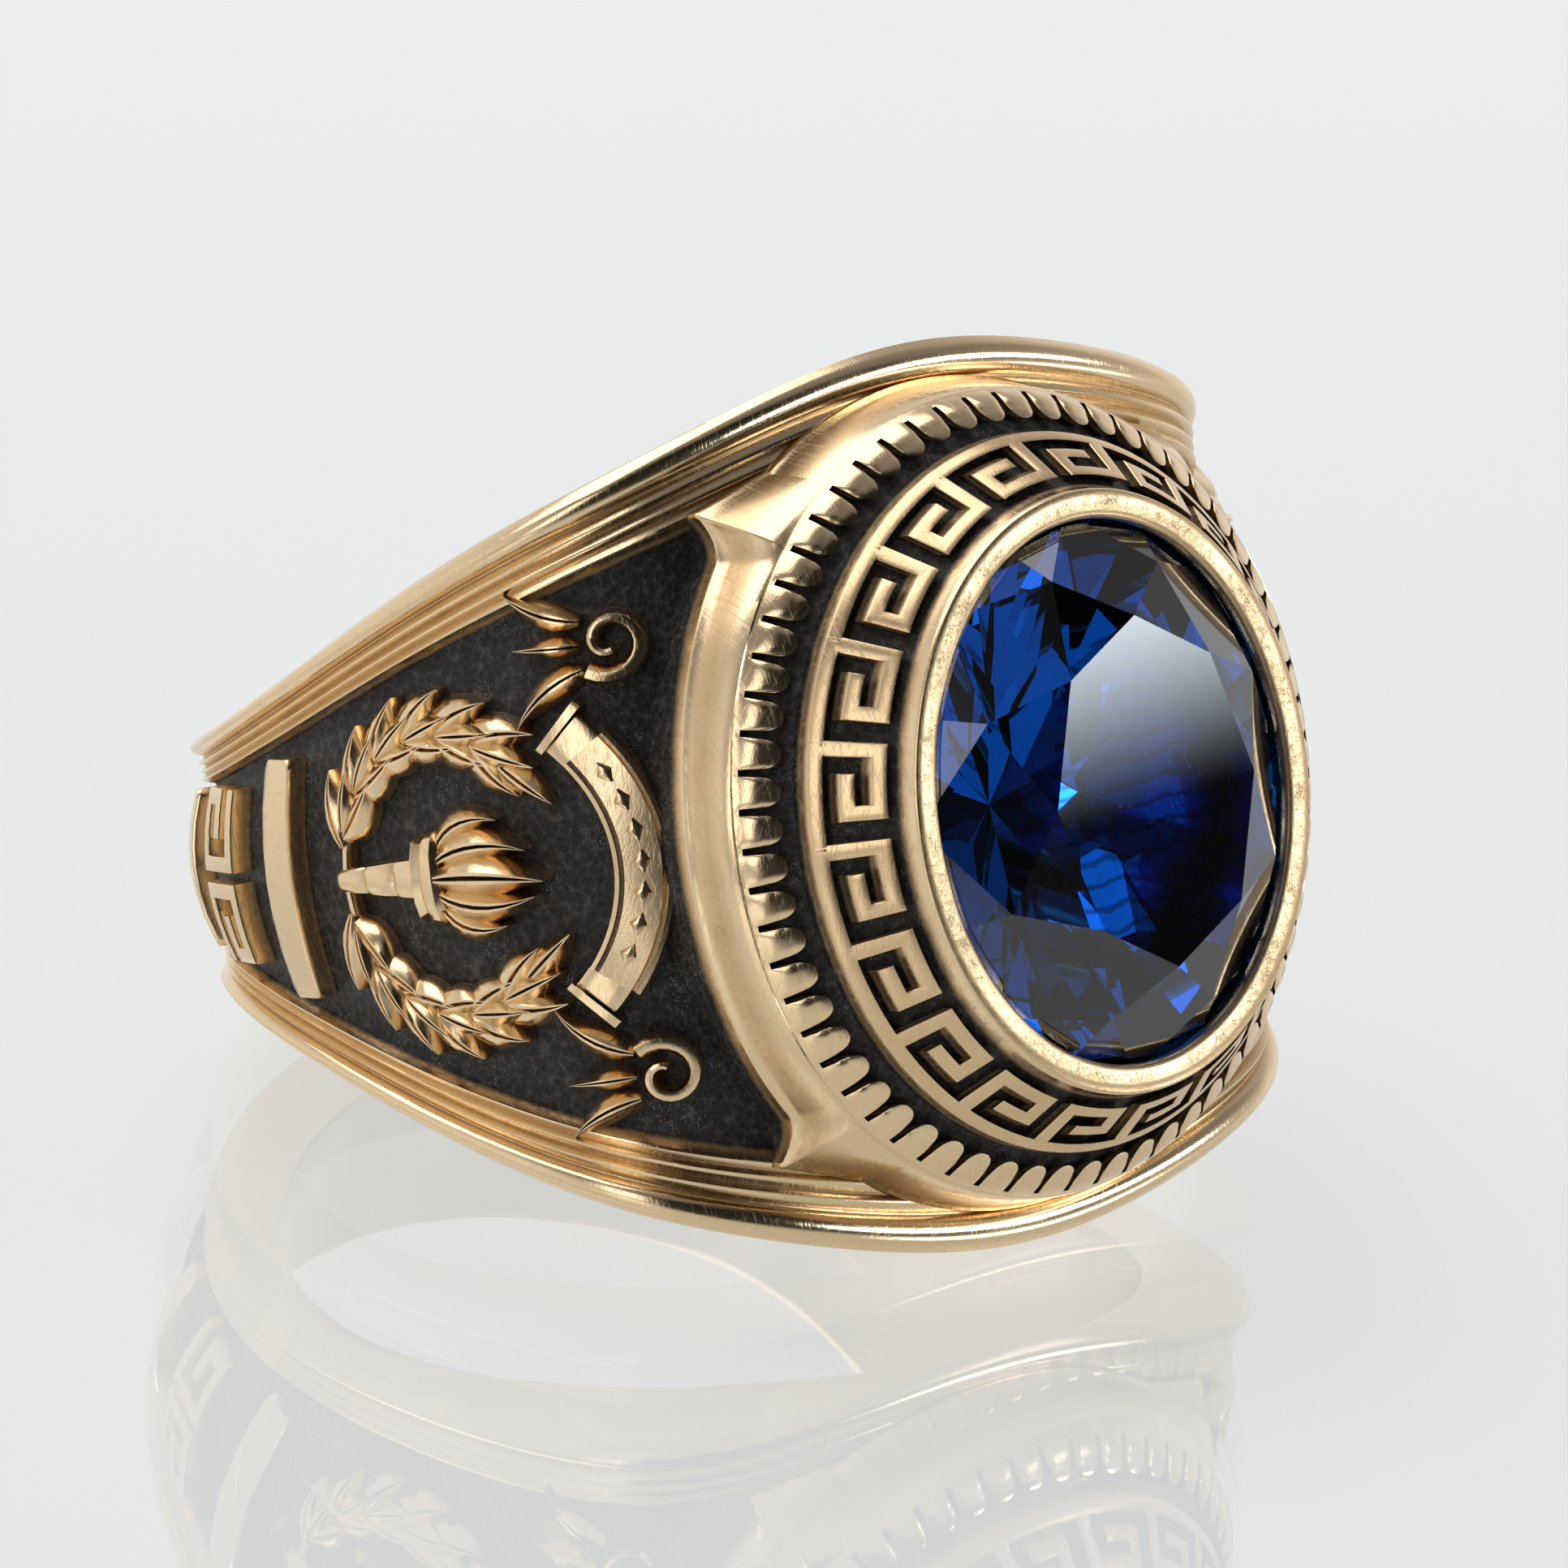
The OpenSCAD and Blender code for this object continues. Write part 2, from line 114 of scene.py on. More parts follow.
# The ring rests on the outer edges of its lower rails, at the head and at the back
head_contact = rail_radius(0) - EDGE_DEPTH * GROOVE
back_contact = rail_radius(180) - EDGE_DEPTH * GROOVE
tilt = math.atan((HEAD_WIDTH - BACK_WIDTH) / 2 / (head_contact + back_contact))
table_tip = TABLE_X * math.cos(tilt) + TABLE_HALF * math.sin(tilt)
back_tip = BACK_RADIUS * math.cos(tilt) + BACK_WIDTH / 2 * math.sin(tilt)
rest_height = HEAD_WIDTH / 2 * math.cos(tilt) - head_contact * math.sin(tilt)
lying = (
    Matrix.Scale(0.001, 4)
    @ Matrix.Translation((0, (table_tip - back_tip) / 2, rest_height))
    @ Matrix.Rotation(-tilt, 4, "X")
    @ Matrix.Rotation(-math.pi / 2, 4, "Z")
)


def cast_piece(bm, name, sharp):
    """Turns a shape in ring coordinates into a piece of the casting that lies with the ring."""
    bmesh.ops.remove_doubles(bm, verts=bm.verts, dist=0.0005)
    bmesh.ops.dissolve_degenerate(bm, dist=0.0003, edges=bm.edges)
    bmesh.ops.recalc_face_normals(bm, faces=bm.faces)
    bmesh.ops.transform(bm, matrix=lying, verts=bm.verts)
    mesh = bpy.data.meshes.new(name)
    bm.to_mesh(mesh)
    bm.free()
    mesh.shade_smooth()
    mesh.set_sharp_from_angle(angle=math.radians(sharp))
    piece = bpy.data.objects.new(name, mesh)
    bpy.context.scene.collection.objects.link(piece)
    mesh.materials.append(gold)
    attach(piece, "root")
    return piece


def placed_grid(bm, across, along, place):
    """A grid whose columns and rows are placed one by one; place gives a point and its polish."""
    polish = bm.verts.layers.float.get("polish") or bm.verts.layers.float.new("polish")
    grid = bmesh.ops.create_grid(bm, x_segments=across, y_segments=along, size=1)["verts"]
    for vert in grid:
        column = round((vert.co.x + 1) / 2 * across)
        row = round((vert.co.y + 1) / 2 * along)
        point, shine = place(column, row)
        vert.co = point
        vert[polish] = shine


def new_group(name, inputs, outputs):
    group = bpy.data.node_groups.new(name, "ShaderNodeTree")
    for label, kind, value in inputs:
        socket = group.interface.new_socket(label, in_out="INPUT", socket_type=kind)
        socket.default_value = value
    for label, kind in outputs:
        group.interface.new_socket(label, in_out="OUTPUT", socket_type=kind)
    return group


def add_node(tree, kind, links=(), **settings):
    """Adds a node; links fill its inputs from other nodes' sockets or with plain values."""
    node = tree.nodes.new(kind)
    for key, value in settings.items():
        setattr(node, key, value)
    for socket, source in dict(links).items():
        if isinstance(source, bpy.types.NodeSocket):
            tree.links.new(source, node.inputs[socket])
        else:
            node.inputs[socket].default_value = source
    return node


def ramp(tree, source, stops, smooth=True):
    """A colour ramp over a value; each stop is a place and a colour or a grey."""
    node = add_node(tree, "ShaderNodeValToRGB", {0: source})
    node.color_ramp.interpolation = "EASE" if smooth else "LINEAR"
    elements = node.color_ramp.elements
    while len(elements) < len(stops):
        elements.new(0.5)
    for element, (place, colour) in zip(elements, stops):
        element.position = place
        element.color = (*colour, 1) if isinstance(colour, tuple) else (colour, colour, colour, 1)
    return node.outputs["Color"]


def mix_colours(tree, share, first, second, blend="MIX"):
    node = add_node(
        tree, "ShaderNodeMix", {0: share, 6: first, 7: second}, data_type="RGBA", blend_type=blend
    )
    return node.outputs[2]


def math_node(tree, operation, first, second, clamp=False):
    node = add_node(tree, "ShaderNodeMath", {0: first, 1: second}, operation=operation, use_clamp=clamp)
    return node.outputs[0]


def oxidised_finish():
    """Node group: polished metal on the high places, darkened pebbled metal in the low ones."""
    tree = new_group(
        "Oxidised finish",
        [("Polish", "NodeSocketFloat", 1.0)],
        [
            ("Color", "NodeSocketColor"),
            ("Metallic", "NodeSocketFloat"),
            ("Roughness", "NodeSocketFloat"),
            ("Height", "NodeSocketFloat"),
        ],
    )
    polish = add_node(tree, "NodeGroupInput").outputs["Polish"]
    place = add_node(tree, "ShaderNodeTexCoord").outputs["Object"]
    # Cast grain of the darkened metal: pebbles about a fifth of a millimetre wide
    pebbles = add_node(
        tree, "ShaderNodeTexVoronoi", {"Vector": place, "Scale": 5600.0}
    ).outputs["Distance"]
    fine = add_node(
        tree, "ShaderNodeTexNoise", {"Vector": place, "Scale": 21000.0, "Detail": 4.0, "Roughness": 0.65}
    ).outputs["Fac"]
    patches = add_node(
        tree, "ShaderNodeTexNoise", {"Vector": place, "Scale": 900.0, "Detail": 3.0, "Roughness": 0.6}
    ).outputs["Fac"]
    # Hairline scratches in two directions on the worn metal
    scratch_fields = []
    for turn, stretch in (((0.3, 0.5, 0.2), (700, 26000, 2600)), ((0.9, -0.4, 1.2), (24000, 800, 3000))):
        turned = add_node(
            tree, "ShaderNodeMapping", {"Vector": place, "Rotation": turn, "Scale": stretch}
        ).outputs[0]
        lines = add_node(
            tree, "ShaderNodeTexNoise", {"Vector": turned, "Scale": 1.0, "Detail": 2.0, "Roughness": 0.5}
        ).outputs["Fac"]
        scratch_fields.append(ramp(tree, lines, [(0.52, 0.0), (0.72, 1.0)]))
    scratches = math_node(tree, "MULTIPLY", scratch_fields[0], 0.6)
    scratches = math_node(tree, "ADD", scratches, scratch_fields[1], clamp=True)
    # The dark coating is rubbed off wherever the surface stands up, with a ragged edge
    ragged = math_node(tree, "ADD", polish, math_node(tree, "MULTIPLY", fine, 0.30))
    ragged = math_node(tree, "ADD", ragged, math_node(tree, "MULTIPLY", patches, 0.24))
    wear = math_node(tree, "SUBTRACT", ragged, 0.27)
    bare = ramp(tree, wear, [(0.20, 0.0), (0.62, 1.0)])
    rubbed_and_reflection_mask = ramp(tree, wear, [(0.45, 0.0), (0.95, 1.0)])
    # Bare gold: warm where it is little rubbed, pale where it is rubbed, duller along the scratches. In
    # the grooves and low places the warm tone is a painted reflection of gold in gold; elsewhere it
    # follows random wear.
    warm_reflection_and_wear = mix_colours(tree, rubbed_and_reflection_mask, (0.61, 0.405, 0.21, 1), (0.83, 0.635, 0.395, 1))
    patchy = math_node(tree, "MULTIPLY", patches, 0.4)
    worn = mix_colours(tree, patchy, warm_reflection_and_wear, (0.76, 0.52, 0.28, 1))
    scratched = math_node(tree, "MULTIPLY", scratches, 0.14)
    worn = mix_colours(tree, scratched, worn, (0.50, 0.38, 0.25, 1))
    half_pebbles = math_node(tree, "MULTIPLY", pebbles, 0.5)
    grain = math_node(tree, "ADD", half_pebbles, math_node(tree, "MULTIPLY", fine, 0.8))
    coat = ramp(
        tree, grain,
        [(0.35, (0.011, 0.0095, 0.009)), (0.65, (0.028, 0.0245, 0.023)), (0.95, (0.085, 0.076, 0.071))],
    )
    # Pale specks of polishing dust lie in patches on the coating
    dusty = ramp(tree, patches, [(0.50, 0.12), (0.66, 1.0)])
    specks = ramp(tree, fine, [(0.54, 0.0), (0.66, 0.8)])
    dust = math_node(tree, "MULTIPLY", dusty, specks)
    dark = mix_colours(tree, dust, coat, (0.24, 0.245, 0.225, 1))
    colour = mix_colours(tree, bare, dark, worn)
    metallic = math_node(tree, "ADD", math_node(tree, "MULTIPLY", bare, 0.75), 0.25, clamp=True)
    dark_rough = math_node(tree, "ADD", math_node(tree, "MULTIPLY", fine, 0.3), 0.34)
    bare_rough = math_node(tree, "ADD", math_node(tree, "MULTIPLY", scratches, 0.13), 0.34)
    bare_rough = math_node(tree, "SUBTRACT", bare_rough, math_node(tree, "MULTIPLY", rubbed_and_reflection_mask, 0.18))
    blend = add_node(tree, "ShaderNodeMix", {0: bare, 2: dark_rough, 3: bare_rough})
    # Pebbles show in the dark metal, scratches in the bare
    pits = math_node(tree, "SUBTRACT", pebbles, math_node(tree, "MULTIPLY", fine, 0.7))
    pits = math_node(tree, "MULTIPLY", pits, math_node(tree, "SUBTRACT", 1.0, bare))
    cuts = math_node(tree, "MULTIPLY", scratches, -0.03)
    satin = math_node(tree, "ADD", cuts, math_node(tree, "MULTIPLY", fine, 0.05))
    height = math_node(tree, "ADD", pits, math_node(tree, "MULTIPLY", satin, bare))
    result = add_node(
        tree,
        "NodeGroupOutput",
        {"Color": colour, "Metallic": metallic, "Roughness": blend.outputs[0], "Height": height},
    )
    result.is_active_output = True
    return tree


def gold_material():
    """10 karat gold: pale and satin on the wear faces, warm lower down with a painted reflection of gold
    in gold, black-brown in the fields.
    """
    material = bpy.data.materials.new("gold")
    material.use_nodes = True
    tree = material.node_tree
    shader = tree.nodes["Principled BSDF"]
    polish = add_node(tree, "ShaderNodeAttribute", attribute_name="polish").outputs["Fac"]
    finish = add_node(tree, "ShaderNodeGroup", node_tree=oxidised_finish())
    tree.links.new(polish, finish.inputs["Polish"])
    bump = add_node(
        tree, "ShaderNodeBump", {"Height": finish.outputs["Height"], "Strength": 0.55, "Distance": 0.00005}
    ).outputs[0]
    tree.links.new(finish.outputs["Color"], shader.inputs["Base Color"])
    tree.links.new(finish.outputs["Metallic"], shader.inputs["Metallic"])
    tree.links.new(finish.outputs["Roughness"], shader.inputs["Roughness"])
    tree.links.new(bump, shader.inputs["Normal"])
    shader.inputs["Specular IOR Level"].default_value = 0.25
    return material


gold = gold_material()

# The rounded edge of the finger hole: place out from the hole and in from the side face
hole_edge = [(0.0, 0.42), (0.012, 0.27), (0.05, 0.18)]
# Section of the rails: share of their width, share of the groove's depth and polish
rail_profile = [
    (0.00, EDGE_DEPTH, 1.0), (0.02, 0.88, 1.0), (0.06, 0.53, 1.0), (0.10, 0.29, 1.0), (0.15, 0.10, 1.0),
    (0.22, 0.00, 1.0), (0.29, 0.05, 1.0), (0.345, 0.20, 1.0), (0.385, 0.45, 0.92), (0.41, 0.72, 0.62),
    (0.43, 0.98, 0.42), (0.45, 1.00, 0.42), (0.47, 0.88, 0.6), (0.51, 0.72, 0.78), (0.55, 0.58, 0.9),
    (0.575, 0.48, 1.0), (0.60, 0.46, 1.0), (0.62, 0.60, 0.8), (0.635, 0.88, 0.5), (0.65, 1.00, 0.4),
    (0.67, 0.96, 0.5), (0.70, 0.84, 0.7), (0.735, 0.70, 0.85), (0.765, 0.56, 1.0), (0.79, 0.53, 1.0),
    (0.81, 0.64, 0.8), (0.83, 0.86, 0.55), (0.845, 0.92, 0.5), (0.88, 0.82, 0.62), (0.92, 0.64, 0.8),
    (0.95, 0.53, 1.0), (0.975, 0.55, 1.0), (0.99, 0.70, 0.7),
]
# Wall down to the field: share of the field's half width, share of the depth and polish
wall_steps = [(0.02, 0.35, 0.42), (0.035, 0.75, 0.2), (0.08, 0.96, 0.06)]
OUTER_EDGE = 0.12
RAIL_SHADE = 0.72
FIELD_COLUMNS = 22
BAND_ROWS = 360


def side_section(angle):
    """Points of one side as (radius, z, polish) in order from the hole to the field."""
    edge, width = half_width(angle), rail_width(angle)
    top = rail_radius(angle)
    carved = run_out(angle, FIELD_END, PLAIN_START)
    low = top - EDGE_DEPTH * GROOVE
    points = [(BORE, edge * share, 1.0) for share in (0.0, 0.3, 0.6, 0.85)]
    points += [(BORE + out, edge - inset, 1.0) for out, inset in hole_edge]
    for share in (0.36, 0.7, 0.95):
        points.append((BORE + (low - BORE) * share, edge - EDGE_IN * (1 - share) ** 1.5, 1.0))
    for share, depth, shine in rail_profile:
        z = edge - share * width
        cut = depth * GROOVE
        # Past their outer edge the rails run out into the plain back
        if share > OUTER_EDGE:
            cut = carved * cut + (1 - carved) * PLAIN_CROWN * (z / edge) ** 2
            shine = 1 - carved * (1 - shine) * RAIL_SHADE
        points.append((top - cut, z, shine))
    foot = top - carved * rail_profile[-1][1] * GROOVE - (1 - carved) * PLAIN_CROWN
    field = field_half(angle)
    for share, drop, shine in wall_steps:
        z = field * (1 - share)
        floor = field_radius(angle, z)
        points.append((foot + (floor - foot) * drop, z, 1 - carved * (1 - shine)))
    return points


def band():
    bm = bmesh.new()
    sections = []
    for row in range(BAND_ROWS // 2 + 1):
        angle = row * 360 / BAND_ROWS
        side = side_section(angle)
        carved = run_out(angle, FIELD_END, PLAIN_START)
        start = field_half(angle) * (1 - wall_steps[-1][0])
        field = []
        for i in range(1, FIELD_COLUMNS):
            z = start * (1 - 2 * i / FIELD_COLUMNS)
            field.append((field_radius(angle, z), z, 1 - carved))
        sections.append(side + field + [(r, -z, shine) for r, z, shine in reversed(side)])

    def place(column, row):
        row %= BAND_ROWS
        angle = math.radians(row * 360 / BAND_ROWS)
        radius, z, shine = sections[min(row, BAND_ROWS - row)][column]
        return Vector((radius * math.cos(angle), radius * math.sin(angle), z)), shine

    placed_grid(bm, len(sections[0]) - 1, BAND_ROWS, place)
    return cast_piece(bm, "band", 40)


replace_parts(band(), "ring_body")

# The head: collar, scalloped border and bezel
# It is cast with the band. A smooth collar runs round it and meets the rails in two pointed lands.
# Inside lies a border of small rounded lobes, then a sunk sloping field, then the stone's bezel,
# whose lip is burnished over the edge of the stone.
BORDER = (8.64, 7.97)
COLLAR = (9.0, 8.5)
BEZEL = (6.46, 5.46)
OPENING = (5.8, 4.8)
SEAT = (6.06, 5.06)
BORDER_X = 11.3
RIM_X = 14.28
# Section of the bezel's rim: place across from the opening to the outer edge, height and polish.
# The lowered polish along its inner edge, by the opening, is painted shade that dulls the lamps' highlight
# there.
bezel_rim = (
    (0.985, -0.10, 0.9), (0.95, -0.035, 0.8), (0.88, 0.0, 0.6), (0.6, 0.0, 0.53), (0.3, -0.003, 0.53),
    (0.16, -0.014, 0.6), (0.08, -0.045, 0.56), (0.02, -0.11, 0.53),
)
# The pocket under the stone: share of the seat's size and height
pocket = ((0.72, 12.5), (0.4, 11.2), (0.1, 9.95), (0.0, 9.9))
GIRDLE_TOP = 13.75
GIRDLE_BOTTOM = 13.6
HEAD_DROP = 0.62
LOBES = 62
LOBE_SIDE = 0.79
LOBE_TIP = 0.705
LOBE_FLANK = 0.07
LOBE_NOSE = 0.62
LOBE_SWELL = 0.085
SWELL_END = 0.55
NOTCH_END = 0.975
# Share of the slope at which the sunk field meets the bezel, and the root of a lobe's wall
FIELD_TOP = 0.07
WALL_ROOT = 0.012
# Places of the columns across one lobe, from its middle to the middle of the notch beside it
lobe_places = (0.0, 0.27, 0.49, 0.64, 0.73, LOBE_SIDE, 0.83, 1.0)
# Rise of the collar from its edge to the border: share of its width, height and polish
collar_rise = (
    (0.16, 0.05, 0.62), (0.34, 0.11, 0.58), (0.5, 0.155, 0.72), (0.63, 0.175, 1.0), (0.76, 0.165, 1.0),
    (0.87, 0.12, 0.9), (0.95, 0.03, 0.7),
)
COLLAR_X = 9.72
COLLAR_LIFT = 0.62
COLLAR_EDGE = 0.05
# The collar's pointed lands: their ends as (y, z, x), and the angles from the rails' direction
# at which a land roots, points and has blended into the collar
LAND_TIP = (6.5, 7.0, 9.45)
LAND_ROOT = (4.55, 7.62, 9.66)
ROOT_FOLD = 32.4
TIP_FOLD = 45
BLEND_FOLD = 49


def evenly(angle, oval):
    """Angle on an oval for an even spacing along its edge, in degrees."""
    long, short = oval
    spread = 45 / math.pi * (long**2 - short**2) / (long**2 + short**2)
    return angle + spread * math.sin(math.radians(2 * angle))


def on_oval(angle, oval, x):
    t = math.radians(angle)
    return Vector((x, oval[1] * math.sin(t), oval[0] * math.cos(t)))


def between(first, second, share):
    return tuple(a + share * (b - a) for a, b in zip(first, second))


def slope_point(angle, share, drop=0.0):
    """A point of the slope from the bezel's rim at 0 to the border's edge at 1."""
    return on_oval(angle, between(BEZEL, BORDER, share), RIM_X - share * (RIM_X - BORDER_X) - drop)


def collar_edge(angle):
    """Outer edge of the collar, drawn out to a pointed land beside each rail."""
    t = angle % 180
    fold = min(t, 180 - t)
    sine = math.sin(math.radians(fold))
    edge = on_oval(angle, COLLAR, COLLAR_X + COLLAR_LIFT * max(0, (sine - 0.5) / 0.5) ** 1.6)
    if ROOT_FOLD < fold < BLEND_FOLD:
        share = max(0, TIP_FOLD - fold) / (TIP_FOLD - ROOT_FOLD)
        y, z, x = between(LAND_TIP, LAND_ROOT, share)
        land = Vector((x, math.copysign(y, edge.y), math.copysign(z, edge.z)))
        edge = edge.lerp(land, min(1, (BLEND_FOLD - fold) / (BLEND_FOLD - TIP_FOLD)) ** 2.2)
    return edge


def collar_row(angle):
    """Rows from the root in the band over the collar to the border's edge."""
    edge = collar_edge(angle)
    border = slope_point(angle, 1)
    inward = Vector((0, border.y - edge.y, border.z - edge.z)).normalized()
    foot = edge + inward * 0.12
    foot.x = math.sqrt(max((BORE + LEAST_WALL) ** 2 - foot.y**2, 4))
    rise = edge + Vector((-0.55, 0, 0)) + inward * 0.03
    rise.x = max(rise.x, foot.x + 0.05)
    rows = [(foot, 0.1), (rise, 0.15)]
    rows.append((edge + Vector((-0.10, 0, 0)), 0.75))
    rows.append((edge + Vector((-0.035, 0, 0)) + inward * 0.012, 1.0))
    start = edge + inward * COLLAR_EDGE
    rows.append((start, 1.0))
    for share, lift, shine in collar_rise:
        point = start + (border - start) * share
        point.x += lift
        rows.append((point, shine))
    return rows + [(border, 1.0)]


def lobe_end(phase):
    """Share of the slope where a lobe or notch ends; phase is 0 in the lobe's middle, 1 in the notch's."""
    if phase > LOBE_SIDE:
        return NOTCH_END
    return LOBE_TIP + 0.15 * (1 - math.sqrt(1 - (phase / LOBE_SIDE) ** 2.4))


def lobe_row(angle, phase):
    """Rows over one lobe with its rounded nose, down its wall and over the sunk field to the bezel."""
    end = lobe_end(phase)
    flank = LOBE_FLANK * min(1, phase / LOBE_SIDE) ** 4
    rows = []
    for share in (0.12, 0.35, 0.55, 0.68, 0.78, 0.87, 0.94, 1.0):
        place = 1 + share * (end - 1)
        reach = (1 - place) / (1 - LOBE_TIP)
        nose = LOBE_NOSE * max(0, reach - 0.5) ** 1.7
        swell = LOBE_SWELL * math.sin(math.pi * reach / SWELL_END) if reach < SWELL_END else 0
        drop = nose + flank * min(1, 4 * reach) - swell
        rows.append((slope_point(angle, place, drop), 1.0))
    for share, shine in ((0.12, 0.75), (0.4, 0.4), (0.8, 0.1)):
        rows.append((slope_point(angle, end - 0.004, drop + share * (HEAD_DROP - drop)), shine))
    for share in (0.0, 0.15, 0.35, 0.55, 0.75, 0.92, 1.0):
        place = end - WALL_ROOT + share * (FIELD_TOP - end + WALL_ROOT)
        rows.append((slope_point(angle, place, HEAD_DROP), 0.0))
    return rows


def bezel_row(angle):
    """Rows up the bezel's wall, over its rim and down into the stone's seat."""
    rows = [(slope_point(angle, 0.035, 0.45), 0.22), (slope_point(angle, 0.015, 0.30), 0.62)]
    rows.append((on_oval(angle, BEZEL, RIM_X - 0.20), 0.95))
    for across, x, shine in bezel_rim:
        rows.append((on_oval(angle, between(OPENING, BEZEL, across), RIM_X + x), shine))
    rows.append((on_oval(angle, OPENING, RIM_X - 0.27), 0.9))
    rows.append((on_oval(angle, SEAT, GIRDLE_TOP + 0.1), 0.7))
    rows.append((on_oval(angle, SEAT, GIRDLE_BOTTOM - 0.06), 0.7))
    for share, x in pocket:
        rows.append((on_oval(angle, tuple(size * share for size in SEAT), x), 0.9))
    return rows


def head():
    bm = bmesh.new()
    columns = []
    for lobe in range(LOBES):
        across = [-place for place in reversed(lobe_places[:-1])] + list(lobe_places[1:])
        for place in across:
            angle = evenly(360 * (lobe + place / 2) / LOBES, BORDER)
            columns.append(collar_row(angle) + lobe_row(angle, abs(place)) + bezel_row(angle))
    total = len(columns)

    def place(column, row):
        return columns[row % total][column]

    placed_grid(bm, len(columns[0]) - 1, total, place)
    cast_piece(bm, "head", 42)


head()

# The raised frets on the head
# Twenty square meander hooks stand on the sloping field between bezel and border, cast with it.
# Their flat tops are polished bright and their walls stay brown where the dark coating wore off.
FRETS = 20
HEAD_STROKE = 0.34
FRET_HEIGHT = 0.62
FRET_SUNK = 0.12
# Length of a hook's place round the ring, and of the slope, in millimetres
FRET_RUN = 2.135
SLOPE_RUN = 3.85
FRET_MIDDLE = 0.35
# Outline of a hook in strokes, with a foot that runs on to the next one
fret_outline = [
    (0, 0), (6.8, 0), (6.8, 1), (1, 1), (1, 4), (4, 4), (4, 3), (2, 3), (2, 2), (5, 2), (5, 5), (0, 5),
]


def raised_outline(bm, outline, height, bevel):
    """Stands a flat outline up from 0 to a height, with its upper edges rounded."""
    base = bm.faces.new([bm.verts.new((x, y, 0)) for x, y in outline])
    top = bmesh.ops.extrude_face_region(bm, geom=[base])["geom"]
    raised = [item for item in top if isinstance(item, bmesh.types.BMVert)]
    bmesh.ops.translate(bm, verts=raised, vec=(0, 0, height))
    edges = [item for item in top if isinstance(item, bmesh.types.BMEdge)]
    bmesh.ops.bevel(
        bm, geom=edges, offset=bevel, offset_type="OFFSET", affect="EDGES", segments=2, profile=0.5,
        material=-1,
    )


def slice_up(bm, axis, places):
    """Cuts a shape across at the given places, so that it can bend."""
    normal = Vector((axis == 0, axis == 1, axis == 2))
    for place in places:
        geom = bm.verts[:] + bm.edges[:] + bm.faces[:]
        bmesh.ops.bisect_plane(bm, geom=geom, plane_co=normal * place, plane_no=normal, dist=1e-6)


def head_frets():
    bm = bmesh.new()
    shape = bmesh.new()
    outline = [(x * HEAD_STROKE, y * HEAD_STROKE) for x, y in fret_outline]
    raised_outline(shape, outline, FRET_HEIGHT, 0.045)
    slice_up(shape, 0, [HEAD_STROKE * (i + 0.5) for i in range(7)])
    slice_up(shape, 1, [HEAD_STROKE * (i + 0.5) for i in range(5)])
    slice_up(shape, 2, [0.2, 0.4])
    mesh = bpy.data.meshes.new("fret_form")
    shape.to_mesh(mesh)
    shape.free()
    for i in range(FRETS):
        bm.from_mesh(mesh)
    polish = bm.verts.layers.float.new("polish")
    count = len(bm.verts) // FRETS
    oval = between(BEZEL, BORDER, FRET_MIDDLE)
    for index, vert in enumerate(bm.verts):
        p, q, h = vert.co
        turn = (index // count + 0.5 - (p - 3 * HEAD_STROKE) / FRET_RUN) * 360 / FRETS
        share = FRET_MIDDLE - (q - 2.5 * HEAD_STROKE) / SLOPE_RUN
        vert.co = slope_point(evenly(turn, oval), share, HEAD_DROP + FRET_SUNK - h)
        vert[polish] = min(0.7, max(0.1, (h - FRET_SUNK) / (FRET_HEIGHT - FRET_SUNK)))
    bpy.data.meshes.remove(mesh)
    cast_piece(bm, "head_frets", 30)


head_frets()

# The laurel wreaths
# Two branches of leaves stand in relief on the sunk field of each shoulder, round the torch. They
# are cast with the ring, their high places rubbed bright and the valleys left dark.
EMBLEM_ANGLE = 66
RELIEF = 0.5
ROOT = 0.25
SHOULDER_RADIUS = rail_radius(EMBLEM_ANGLE)
LOW_POLISH = 0.28
POLISH_GAIN = 0.95
LEAF_LEN = 1.5
WREATH_HALF = (2.75, 3.0)
LEAF_SETS = 6
FIRST_LEAF = 14
LAST_LEAF = 128
# A set of leaves: place ahead along the branch, turn away from it, length, half width, height, curl
leaf_set = [
    (0, 36, 1.12, 0.50, 1.05, -14), (4, -40, 1.05, 0.47, 1.05, 14), (7, 0, 0.95, 0.36, 1.24, 0),
]
# Sections of strips: place across, share of the height or None for the root, and darkening
rounded = [
    (-1, None, 0), (-1, 0.45, 0), (-0.86, 0.78, 0), (-0.5, 0.96, 0), (0, 1.0, 0), (0.5, 0.96, 0),
    (0.86, 0.78, 0), (1, 0.45, 0), (1, None, 0),
]
veined = [
    (-1, None, 0), (-1, 0.35, 0), (-0.7, 0.72, 0), (-0.25, 0.98, 0), (-0.1, 0.98, 0), (0, 0.72, 0.45),
    (0.1, 0.98, 0), (0.25, 0.98, 0), (0.7, 0.72, 0), (1, 0.35, 0), (1, None, 0),
]


def on_shoulder(u, v, height):
    """u runs towards the head, v along the finger axis and height out of the field."""
    angle = EMBLEM_ANGLE - math.degrees(u / SHOULDER_RADIUS)
    turn = math.radians(-angle)
    radius = field_radius(angle, v) + height
    return Vector((radius * math.cos(turn), radius * math.sin(turn), v))


def shoulder_relief(bm, name, full=RELIEF):
    """Bends flat relief work onto the visible shoulder, repeats it on the other and casts it."""
    polish = bm.verts.layers.float.get("polish") or bm.verts.layers.float.new("polish")
    for vert in bm.verts:
        u, v, height = vert.co
        vert[polish] = min(1, max(0.0, LOW_POLISH + POLISH_GAIN * height / full - vert[polish]))
        vert.co = on_shoulder(u, v, height)
    both = bmesh.ops.duplicate(bm, geom=bm.verts[:] + bm.edges[:] + bm.faces[:])["geom"]
    copies = [item for item in both if isinstance(item, bmesh.types.BMVert)]
    bmesh.ops.scale(bm, vec=(1, -1, 1), verts=copies)
    cast_piece(bm, name, 34)


